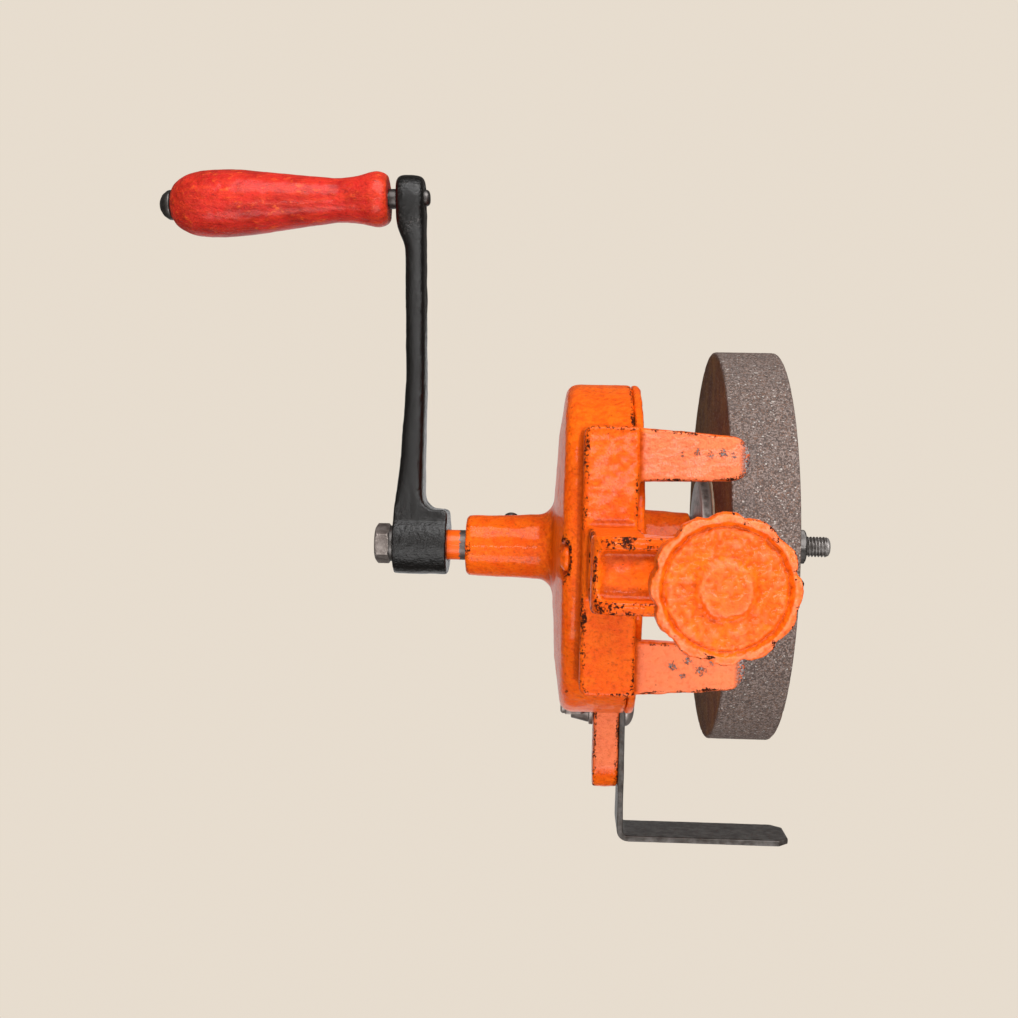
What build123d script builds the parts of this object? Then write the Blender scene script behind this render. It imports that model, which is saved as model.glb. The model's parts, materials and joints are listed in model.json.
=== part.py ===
from build123d import *
import os
from math import acos, cos, pi, radians, sin, tan

# Hand-cranked bench grinder with a screw clamp.  Millimetres, +Z up.
# X=0 is the flat inner stop face that meets the edge of the bench, and Z=0 is the bench top.
# The crank is on the +X side, the wheel is on the -X side over the bench, and the tool rest is
# at the front, -Y.

# --- driving dimensions -------------------------------------------------------------------------
GEAR_MODULE = 1.5
RING_TEETH = 60
PINION_TEETH = 12
PRESSURE_ANGLE = 20.0
TOOTH_ADDENDUM = 0.8 * GEAR_MODULE
TOOTH_BACKLASH = 0.12
CRANK_Z = 62.3
SPINDLE_Z = CRANK_Z + GEAR_MODULE * (RING_TEETH - PINION_TEETH) / 2

PARTING_X = 0.4
DRUM_R = 59.5
DRUM_BORE_R = 54.2
DRUM_RIM_X = 23.2
DOME_X = 27.4
CAVITY_X = 17.4
CAVITY_END_X = 22.6
COVER_T = 3.0

CRANK_BOSS_R = 11.0
CRANK_BOSS_X = 59.0
CRANK_SHAFT_R = 5.5
OIL_CUP_X = 43.2
BUSH_R = 8.0
RUNNING_GAP = 0.05

SPINDLE_R = 6.0
SPINDLE_BOSS_R = 12.6
SPINDLE_BOSS_X = -25.6
SPINDLE_END_X = -80.4
SPINDLE_THREAD_R = 4.0
THREAD_PITCH_R = 3.6

WHEEL_R = 75.0
WHEEL_X = -32.8
WHEEL_T = 23.2
WHEEL_BORE_R = 10.0
FLANGE_R = 25.0
FLANGE_T = 4.0
BLOTTER_T = 0.6

COVER_SCREW_CIRCLE = 55.2
COVER_SCREW_R = 2.5
COVER_SCREW_SEAT_X = 21.6
COVER_SCREW_ANGLES = (270, 30, 150)

FOOT_X = 17.6
FOOT_HALF_Y = 43.0
FOOT_BOTTOM_Z = -3.0
PRONG_LENGTH = 35.2
PRONG_T = 8.8
PRONG_INNER_Y = 25.4
ARM_HALF_Y = 11.0
SPINE_X = 15.6
ARM_TOP_Z = -43.0
ARM_BOTTOM_Z = -54.0
CLAMP_X = -18.0
CLAMP_SCREW_R = 5.0
CLAMP_BOSS_R = 12.0
PAD_TOP_Z = -20.0
KNOB_FACE_Z = -84.2
KNOB_T = 12.5
KNOB_R = 19.4
KNOB_LOBES = 12

REST_Z = 97.0
LUG_T = 9.9
LUG_HALF_Z = 10.7
LUG_END_Y = -85.7
REST_BOLT_Y = -65.0
REST_STRAP_W = 23.0
REST_STRAP_T = 2.2
REST_CROSS_Y = -115.2
REST_CROSS_X = -66.5
REST_NECK = 6.0
REST_TRAVEL = 20.0

HUB_INNER_X = 65.7
HUB_OUTER_X = 85.5
CRANK_R = 126.0
CRANK_SET = 2.2
CRANK_SET_START = 60.0
ARM_INNER_X = 75.6
ARM_OUTER_X = 83.4
HANDLE_LENGTH = 79.6
HANDLE_ROD_R = 3.0

HEX_M8 = 13.0
NUT_T = 6.6


# --- helpers ------------------------------------------------------------------------------------
def x_cylinder(radius, x_start, x_end, y=0.0, z=0.0):
    length = abs(x_end - x_start)
    centre = ((x_start + x_end) / 2, y, z)
    return Pos(*centre) * Rot(0, 90, 0) * Cylinder(radius, length)


def z_cylinder(radius, z_start, z_end, x=0.0, y=0.0):
    length = abs(z_end - z_start)
    return Pos(x, y, (z_start + z_end) / 2) * Cylinder(radius, length)


def x_tube(outer, inner, x_start, x_end, y=0.0, z=0.0):
    core = x_cylinder(inner, min(x_start, x_end) - 1, max(x_start, x_end) + 1, y, z)
    return x_cylinder(outer, x_start, x_end, y, z) - core


def rounded(face, corners):
    """Round the corners of a flat outline; each corner is x, y and its radius."""
    for x, y, radius in corners:
        corner = face.vertices().sort_by_distance((x, y, 0))[0]
        face = fillet(corner, radius)
    return face


def x_turned(points, corners=(), y=0.0, z=0.0):
    """A solid of revolution about a line along X; points are (x, radius)."""
    face = rounded(make_face(Polyline(*points, close=True)), corners)
    return Pos(0, y, z) * revolve(Plane.XZ * face, Axis.X)


def z_turned(points, corners=(), x=0.0, y=0.0):
    """A solid of revolution about a line along Z; points are (radius, z)."""
    face = rounded(make_face(Polyline(*points, close=True)), corners)
    return Pos(x, y, 0) * revolve(Plane.XZ * face, Axis.Z)


def x_prism(sketch, x_start, x_end, y=0.0, z=0.0):
    """Extrude a sketch drawn in (Y, Z) along X."""
    return Pos(min(x_start, x_end), y, z) * extrude(Plane.YZ * sketch, abs(x_end - x_start))


def z_prism(sketch, z_start, z_end, x=0.0, y=0.0):
    """Extrude a sketch drawn in (X, Y) along Z."""
    return Pos(x, y, min(z_start, z_end)) * extrude(sketch, abs(z_end - z_start))


def x_hexagon(across_flats, x_start, x_end, y, z, turn=0.0):
    """A hexagon along X with its corners chamfered on the outer end."""
    corner_r = across_flats / 2 / cos(pi / 6)
    prism = x_prism(Rot(0, 0, turn) * RegularPolygon(corner_r, 6), x_start, x_end, y, z)
    flat_r = across_flats / 2 - 0.1
    drop = (corner_r - flat_r) * tan(radians(30))
    sign = 1 if x_end > x_start else -1
    points = (
        (x_start, 0),
        (x_start, corner_r + 1),
        (x_end - sign * drop, corner_r),
        (x_end, flat_r),
        (x_end, 0),
    )
    return prism & x_turned(points, y=y, z=z)


def polar(radius, angle):
    return radius * cos(radians(angle)), radius * sin(radians(angle))


# --- gears --------------------------------------------------------------------------------------
def involute_half_angle(teeth, radius, thickness):
    """Half the angle that a tooth fills at a radius, from its thickness on the pitch circle."""
    pitch_r = GEAR_MODULE * teeth / 2
    base_r = pitch_r * cos(radians(PRESSURE_ANGLE))

    def roll(r):
        angle = acos(min(1.0, base_r / r))
        return tan(angle) - angle
    return thickness / (2 * pitch_r) + roll(pitch_r) - roll(max(radius, base_r))


def gear_outline(teeth, root_r, tip_r, thickness, turn=0.0):
    """A gear outline centred on the origin, with its first tooth at the angle turn."""
    flank_steps = 4
    radii = [root_r + (tip_r - root_r) * step / flank_steps for step in range(flank_steps + 1)]
    points = []
    for tooth in range(teeth):
        centre = radians(turn) + 2 * pi * tooth / teeth
        halves = [(r, involute_half_angle(teeth, r, thickness)) for r in radii]
        points += [(r * cos(centre - half), r * sin(centre - half)) for r, half in halves]
        points += [(r * cos(centre + half), r * sin(centre + half)) for r, half in reversed(halves)]
    return make_face(Polyline(*points, close=True))


PITCH_THICKNESS = pi * GEAR_MODULE / 2
RING_PITCH_R = GEAR_MODULE * RING_TEETH / 2
PINION_PITCH_R = GEAR_MODULE * PINION_TEETH / 2
RING_BODY_R = 49.5
RING_X = (2.5, 12.5)
RING_WEB_X = 16.4
RING_HUB_R = 12.0
RING_HUB_X = 19.6
PINION_X = (2.4, 11.8)


def ring_gear():
    spaces = gear_outline(
        RING_TEETH,
        RING_PITCH_R - TOOTH_ADDENDUM,
        RING_PITCH_R + 1.25 * GEAR_MODULE,
        PITCH_THICKNESS + TOOTH_BACKLASH,
        turn=90,
    )
    rim = x_prism(Circle(RING_BODY_R) - spaces, *RING_X)
    web = x_cylinder(RING_BODY_R, RING_X[1], RING_WEB_X)
    hub = x_cylinder(RING_HUB_R, 6.0, RING_HUB_X)
    gear = rim + web + hub
    for index in range(6):
        y, z = polar(29.0, 60 * index)
        gear -= x_cylinder(8.0, RING_X[1] - 1, RING_WEB_X + 1, y, z)
    gear -= x_cylinder(CRANK_SHAFT_R, 0, 30)
    gear = Pos(0, 0, CRANK_Z) * gear
    return gear - gear_pin()


def gear_pin():
    return z_cylinder(1.5, CRANK_Z - RING_HUB_R, CRANK_Z + RING_HUB_R, x=9.2)


def pinion():
    outline = gear_outline(
        PINION_TEETH,
        PINION_PITCH_R - 1.2 * GEAR_MODULE,
        PINION_PITCH_R + TOOTH_ADDENDUM,
        PITCH_THICKNESS - TOOTH_BACKLASH,
        turn=90,
    )
    gear = x_prism(outline, *PINION_X) - x_cylinder(SPINDLE_THREAD_R, 0, 13)
    return Pos(0, 0, SPINDLE_Z) * gear - pinion_pin()


def pinion_pin():
    return z_cylinder(1.25, SPINDLE_Z - 6.6, SPINDLE_Z + 6.6, x=7.0)


# --- casting: drum, bosses, foot, clamp frame and rest lug --------------------------------------
def drum():
    neck_r = CRANK_BOSS_R + 1.0
    outer = (
        (PARTING_X, 0),
        (PARTING_X, DRUM_R),
        (DRUM_RIM_X, DRUM_R),
        (25.9, 40.0),
        (DOME_X, neck_r),
        (CRANK_BOSS_X, CRANK_BOSS_R),
        (CRANK_BOSS_X, 0),
    )
    roundings = (
        (DRUM_RIM_X, DRUM_R, 4.5),
        (DOME_X, neck_r, 6.0),
        (CRANK_BOSS_X, CRANK_BOSS_R, 1.0),
    )
    return x_turned(outer, roundings, z=CRANK_Z)


def drum_cavity():
    inner = (
        (-1, 0),
        (-1, DRUM_BORE_R),
        (CAVITY_X, DRUM_BORE_R),
        (20.6, 40.0),
        (CAVITY_END_X, 14.0),
        (CAVITY_END_X, 0),
    )
    return x_turned(inner, ((CAVITY_X, DRUM_BORE_R, 3.0),), z=CRANK_Z)


def cover_screw_places():
    for angle in COVER_SCREW_ANGLES:
        y, z = polar(COVER_SCREW_CIRCLE, angle)
        yield y, CRANK_Z + z


def prong(side):
    """A flat finger that lies on the bench; side is 1 at the back and -1 at the front."""
    plan = Polyline(
        (3.0, PRONG_INNER_Y),
        (-PRONG_LENGTH, PRONG_INNER_Y + 0.9),
        (-PRONG_LENGTH, FOOT_HALF_Y - 2.8),
        (3.0, FOOT_HALF_Y),
        close=True,
    )
    face = rounded(
        make_face(plan),
        ((-PRONG_LENGTH, PRONG_INNER_Y + 0.9, 6.2), (-PRONG_LENGTH, FOOT_HALF_Y - 2.8, 6.6)),
    )
    finger = z_prism(face, 0, PRONG_T)
    finger = fillet(finger.edges().filter_by(Plane.XY).group_by(Axis.Z)[-1], 1.2)
    return finger if side > 0 else mirror(finger, Plane.XZ)


def foot():
    block = Box(FOOT_X, 2 * FOOT_HALF_Y, 30, align=(Align.MIN, Align.CENTER, Align.MIN))
    block = fillet(block.edges().filter_by(Axis.Z).group_by(Axis.X)[-1], 2.5)
    return Pos(0, 0, FOOT_BOTTOM_Z) * block


def clamp_frame():
    """The C-shaped spine and lower arm, with the pocket under the arm and the screw boss."""
    side = Polyline(
        (0.0, FOOT_BOTTOM_Z + 1),
        (SPINE_X, FOOT_BOTTOM_Z + 1),
        (SPINE_X, ARM_BOTTOM_Z),
        (CLAMP_X, ARM_BOTTOM_Z),
        (CLAMP_X, ARM_TOP_Z),
        (0.0, ARM_TOP_Z),
        close=True,
    )
    face = rounded(make_face(side), ((SPINE_X, ARM_BOTTOM_Z, 7.0), (0.0, ARM_TOP_Z, 8.0)))
    frame = Pos(0, ARM_HALF_Y, 0) * extrude(Plane.XZ * face, 2 * ARM_HALF_Y)
    pocket = Rectangle(31.5, 13.8)
    pocket = fillet(pocket.vertices(), 2.0)
    frame -= z_prism(pocket, ARM_BOTTOM_Z - 1, ARM_BOTTOM_Z + 4.2, x=-2.2)
    outer_pocket = x_prism(Rectangle(13.8, 34.0), SPINE_X - 3.0, SPINE_X + 1, z=-25.0)
    frame -= fillet(outer_pocket.edges().filter_by(Axis.X), 2.0)
    boss_low = ARM_BOTTOM_Z - 3
    boss_high = ARM_TOP_Z + 2
    boss_points = (
        (0, boss_low),
        (CLAMP_BOSS_R, boss_low),
        (CLAMP_BOSS_R, boss_high),
        (0, boss_high),
    )
    boss_rounding = ((CLAMP_BOSS_R, boss_low, 1.0), (CLAMP_BOSS_R, boss_high, 1.0))
    return frame + z_turned(boss_points, boss_rounding, x=CLAMP_X)


def rest_lug():
    """The flat ear at the front that carries the tool rest, as far as the drum's wall."""
    plan = Polyline(
        (-36.0, LUG_HALF_Z + 3.0),
        (REST_BOLT_Y + 8, LUG_HALF_Z),
        (LUG_END_Y, LUG_HALF_Z),
        (LUG_END_Y, -LUG_HALF_Z),
        (REST_BOLT_Y + 8, -LUG_HALF_Z),
        (-45.0, -LUG_HALF_Z - 8.0),
        close=True,
    )
    outline = make_face(plan) + Pos(LUG_END_Y, 0) * Circle(LUG_HALF_Z)
    lug = x_prism(outline, PARTING_X, PARTING_X + LUG_T, z=REST_Z)
    slot_start = REST_BOLT_Y + REST_NECK / 2
    slot_end = REST_BOLT_Y - REST_TRAVEL - REST_NECK / 2
    slot = SlotCenterToCenter(slot_start - slot_end, REST_NECK + 0.2)
    slot = Pos((slot_start + slot_end) / 2, 0) * slot
    return lug, x_prism(slot, 0, 20, z=REST_Z)


def housing():
    lug, lug_slot = rest_lug()
    cast = drum() + foot() + lug
    cast -= drum_cavity()
    for y, z in cover_screw_places():
        pad = x_cylinder(4.3, PARTING_X, CAVITY_X + 2, y, z)
        cast += pad & x_cylinder(DRUM_R, 0, CAVITY_X + 2, z=CRANK_Z)
        cast -= x_cylinder(COVER_SCREW_R + 0.1, -1, COVER_SCREW_SEAT_X + 1, y, z)
        cast -= x_cylinder(5.4, COVER_SCREW_SEAT_X, DOME_X + 3, y, z)
    cast += prong(1) + prong(-1) + clamp_frame()
    cast -= x_cylinder(DRUM_R + 0.2, -COVER_T - 1, PARTING_X, z=CRANK_Z)
    cast -= lug_slot
    cast -= x_cylinder(BUSH_R, CAVITY_X, CRANK_BOSS_X + 1, z=CRANK_Z)
    cast -= z_cylinder(CLAMP_SCREW_R + RUNNING_GAP, ARM_BOTTOM_Z - 5, ARM_TOP_Z + 5, x=CLAMP_X)
    return cast - oil_cup_body()


def oil_cup_body():
    return Pos(OIL_CUP_X, 0, CRANK_Z) * Rot(-45, 0, 0) * z_cylinder(2.0, BUSH_R, CRANK_BOSS_R + 3)


def oil_cup():
    """A small capped oiler pressed into the top of the crank boss, leaning to the back."""
    points = (
        (0, BUSH_R),
        (2.0, BUSH_R),
        (2.0, CRANK_BOSS_R + 0.9),
        (2.9, CRANK_BOSS_R + 0.9),
        (2.9, CRANK_BOSS_R + 3.4),
        (0, CRANK_BOSS_R + 3.8),
    )
    cup = z_turned(points, ((2.9, CRANK_BOSS_R + 3.4, 0.5),))
    return Pos(OIL_CUP_X, 0, CRANK_Z) * Rot(-45, 0, 0) * cup


def cover():
    back = PARTING_X
    face = PARTING_X - COVER_T
    spigot_r = DRUM_BORE_R - 0.2
    plate_points = (
        (face, 0),
        (face, DRUM_R),
        (back, DRUM_R),
        (back, spigot_r),
        (back + 1.6, spigot_r),
        (back + 1.6, spigot_r - 3.2),
        (back, spigot_r - 3.2),
        (back, 0),
    )
    plate = x_turned(plate_points, ((face, DRUM_R, 1.4),), z=CRANK_Z)
    for y, z in cover_screw_places():
        plate -= x_cylinder(4.7, back, back + 3, y, z)
        pad = x_turned(((face - 3.6, 0), (face - 3.6, 4.0), (face, 5.0), (face, 0)), y=y, z=z)
        plate += pad & x_cylinder(DRUM_R, face - 4, back, z=CRANK_Z)
        plate -= x_cylinder(COVER_SCREW_R, face - 3.0, back + 3, y, z)
    boss_points = (
        (back + 1.2, 0),
        (back + 1.2, SPINDLE_BOSS_R),
        (face, SPINDLE_BOSS_R + 5),
        (face - 4, SPINDLE_BOSS_R + 0.6),
        (SPINDLE_BOSS_X, SPINDLE_BOSS_R - 0.4),
        (SPINDLE_BOSS_X, 0),
    )
    roundings = (
        (face - 4, SPINDLE_BOSS_R + 0.6, 5.0),
        (SPINDLE_BOSS_X, SPINDLE_BOSS_R - 0.4, 1.0),
    )
    plate += x_turned(boss_points, roundings, z=SPINDLE_Z)
    return plate - x_cylinder(BUSH_R, -30, 3, z=SPINDLE_Z)


def cover_screws():
    screws = []
    for y, z in cover_screw_places():
        seat = COVER_SCREW_SEAT_X
        points = (
            (-5.2, 0),
            (-5.2, COVER_SCREW_R),
            (seat, COVER_SCREW_R),
            (seat, 4.2),
            (seat + 1.4, 4.0),
            (seat + 2.8, 2.2),
            (seat + 3.2, 0),
        )
        screw = x_turned(points, y=y, z=z)
        slot = Box(2.4, 9.0, 1.1, align=(Align.MIN, Align.CENTER, Align.CENTER))
        screws.append(screw - Pos(seat + 1.6, y, z) * slot)
    return Compound(screws)


# --- crank --------------------------------------------------------------------------------------
def crank_bushes():
    spans = ((CAVITY_END_X, 38.0), (44.6, CRANK_BOSS_X))
    inner = CRANK_SHAFT_R + RUNNING_GAP
    tubes = [x_tube(BUSH_R, inner, *span, z=CRANK_Z) for span in spans]
    oil_way = Pos(OIL_CUP_X, 0, CRANK_Z) * Rot(-45, 0, 0) * z_cylinder(2.0, 0, 20)
    return Compound([tube - oil_way for tube in tubes])


def crank_shaft():
    shaft = x_cylinder(CRANK_SHAFT_R, 3.4, HUB_INNER_X + 1.5, z=CRANK_Z)
    square = Pos(0, 0, CRANK_Z) * x_prism(Rectangle(7.8, 7.8), HUB_INNER_X + 1.5, HUB_OUTER_X - 1.0)
    shaft += square & x_cylinder(CRANK_SHAFT_R, 60, 90, z=CRANK_Z)
    shaft -= x_cylinder(2.5, HUB_OUTER_X - 16.0, HUB_OUTER_X, z=CRANK_Z)
    return shaft - gear_pin()


def crank_washer():
    return x_tube(6.6, 2.6, HUB_OUTER_X, HUB_OUTER_X + 1.8, z=CRANK_Z)


def crank_bolt():
    head = x_hexagon(HEX_M8, HUB_OUTER_X + 1.8, HUB_OUTER_X + 7.0, 0, CRANK_Z)
    shank = x_cylinder(2.5, HUB_OUTER_X - 14.0, HUB_OUTER_X + 1.8, z=CRANK_Z)
    return head + shank


def thrust_washer():
    return x_tube(10.5, CRANK_SHAFT_R + 0.06, RING_HUB_X + 0.3, CAVITY_END_X - 0.1, z=CRANK_Z)


def set_over(y):
    """How far the arm has moved outward at a distance y from the shaft's axis."""
    return max(0.0, y - CRANK_SET_START) * tan(radians(CRANK_SET))


def crank_arm():
    """The side outline in (X, Y) and the front outline in (Y, Z) meet in one forged shape."""
    eye_y = CRANK_R
    tip_y = eye_y + 8.8
    side = Polyline(
        (HUB_INNER_X, -13.0),
        (HUB_OUTER_X, -13.0),
        (HUB_OUTER_X, 9.0),
        (ARM_OUTER_X + 0.2, 30.0),
        (ARM_OUTER_X - 1.4, CRANK_SET_START),
        (ARM_OUTER_X - 2.0 + set_over(eye_y - 18.0), eye_y - 18.0),
        (ARM_OUTER_X + 1.2 + set_over(eye_y - 8.8), eye_y - 9.2),
        (ARM_OUTER_X + 1.2 + set_over(tip_y), tip_y),
        (ARM_INNER_X - 2.0 + set_over(tip_y), tip_y),
        (ARM_INNER_X - 0.8, CRANK_SET_START),
        (ARM_INNER_X - 0.6, 13.0),
        (HUB_INNER_X, 13.0),
        close=True,
    )
    side_face = rounded(
        make_face(side),
        ((ARM_INNER_X - 0.6, 13.0, 5.0), (HUB_INNER_X, 13.0, 2.0), (HUB_OUTER_X, 9.0, 12.0)),
    )
    blank = Pos(0, 0, CRANK_Z - 14) * extrude(side_face, 28)
    web = Polyline(
        (0, -9.5),
        (0, 9.5),
        (30.0, 8.0),
        (eye_y, 7.0),
        (eye_y, -7.0),
        (30.0, -8.0),
        close=True,
    )
    front = make_face(web) + Pos(1.0, 0) * Circle(12.0) + Pos(eye_y, 0) * Circle(8.8)
    arm = blank & x_prism(front, 55, 100, z=CRANK_Z)
    arm -= x_prism(Rectangle(7.8, 7.8), 60, 100, z=CRANK_Z)
    arm -= x_cylinder(CRANK_SHAFT_R, HUB_INNER_X - 1, HUB_INNER_X + 1.5, z=CRANK_Z)
    return arm - rod_core()


ROD_ROOT = Pos(ARM_OUTER_X + 1.2 + set_over(CRANK_R), CRANK_R, CRANK_Z) * Rot(0, 0, -CRANK_SET)


def rod_core():
    """The rod's riveted end inside the eye of the arm."""
    return ROD_ROOT * x_cylinder(HANDLE_ROD_R, -15, 1)


def handle_rod():
    collar_end = 2.4
    handle_end = collar_end + 0.3 + HANDLE_LENGTH
    points = (
        (-12.4, 0),
        (-12.4, HANDLE_ROD_R - 0.6),
        (-11.4, HANDLE_ROD_R),
        (handle_end + 0.3, HANDLE_ROD_R),
        (handle_end + 0.3, 5.4),
        (handle_end + 1.2, 5.5),
        (handle_end + 3.6, 4.0),
        (handle_end + 5.2, 0),
    )
    return ROD_ROOT * x_turned(points)


def rod_collar():
    return ROD_ROOT * x_tube(3.6, HANDLE_ROD_R, 0.05, 2.3)


def handle():
    """A turned wooden grip; the profile is half its width along its length from the arm."""
    start = 2.7
    profile = (
        (0.0, 8.2),
        (1.6, 9.5),
        (4.2, 10.0),
        (7.8, 9.3),
        (12.2, 8.4),
        (19.4, 8.0),
        (27.0, 8.8),
        (34.3, 9.6),
        (41.6, 10.5),
        (49.0, 11.4),
        (56.4, 12.0),
        (63.8, 12.1),
        (70.6, 11.5),
        (75.4, 9.8),
        (78.4, 7.6),
        (HANDLE_LENGTH, 5.6),
    )
    curve = Spline(*[(start + along, radius) for along, radius in profile])
    first = (start, profile[0][1])
    last = (start + HANDLE_LENGTH, profile[-1][1])
    bore = HANDLE_ROD_R + 0.08
    ends = Polyline(first, (start, bore), (start + HANDLE_LENGTH, bore), last)
    face = make_face(Plane.XZ * (curve + ends))
    return ROD_ROOT * revolve(face, Axis.X)


# --- spindle and wheel --------------------------------------------------------------------------
def spindle_bushes():
    inner = SPINDLE_R + RUNNING_GAP
    spans = ((SPINDLE_BOSS_X, -15.6), (-9.0, 1.6))
    return Compound([x_tube(BUSH_R, inner, *span, z=SPINDLE_Z) for span in spans])


def spindle():
    """The thread is drawn plain, at full size, and at its pitch line inside the nut."""
    wheel_end = WHEEL_X - WHEEL_T
    nut_end = WHEEL_NUT_X - NUT_T
    points = (
        (SPINDLE_END_X, 0),
        (SPINDLE_END_X, 3.0),
        (SPINDLE_END_X + 1.2, SPINDLE_THREAD_R),
        (nut_end, SPINDLE_THREAD_R),
        (nut_end, THREAD_PITCH_R),
        (WHEEL_NUT_X, THREAD_PITCH_R),
        (WHEEL_NUT_X, SPINDLE_THREAD_R),
        (wheel_end, SPINDLE_THREAD_R),
        (wheel_end, SPINDLE_R),
        (PINION_X[0] - 0.3, SPINDLE_R),
        (PINION_X[0] - 0.3, SPINDLE_THREAD_R),
        (PINION_X[1], SPINDLE_THREAD_R),
        (PINION_X[1], 0),
    )
    return x_turned(points, z=SPINDLE_Z) - pinion_pin()


def inner_flange():
    face_x = WHEEL_X + BLOTTER_T
    points = ((face_x, SPINDLE_R), (face_x, FLANGE_R), (face_x + FLANGE_T, FLANGE_R),
              (face_x + FLANGE_T + 1.4, 11.0), (-26.0, 11.0), (-26.0, SPINDLE_R))
    return x_turned(points, ((face_x + FLANGE_T, FLANGE_R, 0.8),), z=SPINDLE_Z)


def outer_flange():
    face_x = WHEEL_X - WHEEL_T - BLOTTER_T
    points = ((face_x, SPINDLE_THREAD_R + 0.1), (face_x, FLANGE_R), (face_x - FLANGE_T, FLANGE_R),
              (face_x - FLANGE_T - 2.0, 11.0), (face_x - FLANGE_T - 2.0, SPINDLE_THREAD_R + 0.1))
    return x_turned(points, ((face_x - FLANGE_T, FLANGE_R, 0.8),), z=SPINDLE_Z)


def wheel_blotters():
    inner_x = WHEEL_X
    outer_x = WHEEL_X - WHEEL_T
    discs = (
        x_tube(FLANGE_R + 2.5, SPINDLE_R, inner_x, inner_x + BLOTTER_T, z=SPINDLE_Z),
        x_tube(FLANGE_R + 2.5, SPINDLE_R, outer_x, outer_x - BLOTTER_T, z=SPINDLE_Z),
    )
    return Compound(discs)


def wheel_bush():
    return x_tube(WHEEL_BORE_R, SPINDLE_R, WHEEL_X, WHEEL_X - WHEEL_T, z=SPINDLE_Z)


def grinding_wheel():
    outer_x = WHEEL_X - WHEEL_T
    points = (
        (WHEEL_X, WHEEL_BORE_R),
        (WHEEL_X, WHEEL_R),
        (outer_x, WHEEL_R),
        (outer_x, WHEEL_BORE_R),
    )
    return x_turned(points, ((WHEEL_X, WHEEL_R, 1.0), (outer_x, WHEEL_R, 1.0)), z=SPINDLE_Z)


WASHER_X = WHEEL_X - WHEEL_T - BLOTTER_T - FLANGE_T - 2.0
WHEEL_NUT_X = WASHER_X - 1.6


def wheel_washer():
    return x_tube(8.5, SPINDLE_THREAD_R + 0.2, WASHER_X, WHEEL_NUT_X, z=SPINDLE_Z)


def wheel_nut():
    nut = x_hexagon(HEX_M8, WHEEL_NUT_X, WHEEL_NUT_X - NUT_T, 0, SPINDLE_Z, turn=30)
    return nut - x_cylinder(THREAD_PITCH_R, -100, 0, z=SPINDLE_Z)


# --- clamp screw --------------------------------------------------------------------------------
BALL_R = 4.2
BALL_Z = PAD_TOP_Z - 1.0 - BALL_R
KNOB_TOP_Z = KNOB_FACE_Z + KNOB_T


def clamp_screw():
    """A threaded rod that ends in a ball inside the swivel pad and passes down into the knob."""
    rod = z_cylinder(CLAMP_SCREW_R, KNOB_FACE_Z + 5.0, BALL_Z - 5.5, x=CLAMP_X)
    neck = z_cylinder(2.6, BALL_Z - 6.0, BALL_Z, x=CLAMP_X)
    ball = Pos(CLAMP_X, 0, BALL_Z) * Sphere(BALL_R)
    return rod + neck + ball - knob_pin()


def clamp_pad():
    points = (
        (0, PAD_TOP_Z),
        (10.0, PAD_TOP_Z),
        (10.0, PAD_TOP_Z - 3.0),
        (7.0, BALL_Z - 3.4),
        (3.4, BALL_Z - 3.4),
        (3.4, PAD_TOP_Z - 2.0),
        (0, PAD_TOP_Z - 2.0),
    )
    cup = z_turned(points, ((10.0, PAD_TOP_Z, 0.8),), x=CLAMP_X)
    return cup - Pos(CLAMP_X, 0, BALL_Z) * Sphere(BALL_R + 0.06)


def knob_pin():
    return Pos(CLAMP_X, 0, KNOB_TOP_Z - 3.2) * Rot(90, 0, 0) * Cylinder(1.25, 17.0)


def knob_outline():
    """Twelve shallow lobes, as arcs through the crest of each lobe between the dips."""
    dip_r = KNOB_R - 1.3
    step = 360 / KNOB_LOBES
    arcs = []
    for lobe in range(KNOB_LOBES):
        angle = lobe * step
        start = polar(dip_r, angle - step / 2)
        crest = polar(KNOB_R, angle)
        end = polar(dip_r, angle + step / 2)
        arcs.append(ThreePointArc(start, crest, end))
    return make_face(arcs)


def knob():
    blank = z_prism(knob_outline(), KNOB_FACE_Z, KNOB_TOP_Z, x=CLAMP_X)
    z = KNOB_FACE_Z
    points = (
        (0, z),
        (6.4, z),
        (8.6, z + 1.4),
        (15.2, z + 1.4),
        (15.9, z + 2.2),
        (16.6, z + 0.9),
        (17.2, z),
        (19.6, z + 0.8),
        (19.6, z + 8.5),
        (15.0, z + 10.0),
        (8.4, z + 10.5),
        (8.4, z + KNOB_T),
        (0, z + KNOB_T),
    )
    body = z_turned(points, ((19.6, z + 8.5, 1.5),), x=CLAMP_X)
    wheel = blank & body
    wheel -= z_cylinder(CLAMP_SCREW_R, KNOB_FACE_Z + 5.0, KNOB_TOP_Z + 1, x=CLAMP_X)
    return wheel - knob_pin()


# --- tool rest ----------------------------------------------------------------------------------
WASHER_T = 1.8
REST_BOLT_END_X = LUG_T + 13.0


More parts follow.
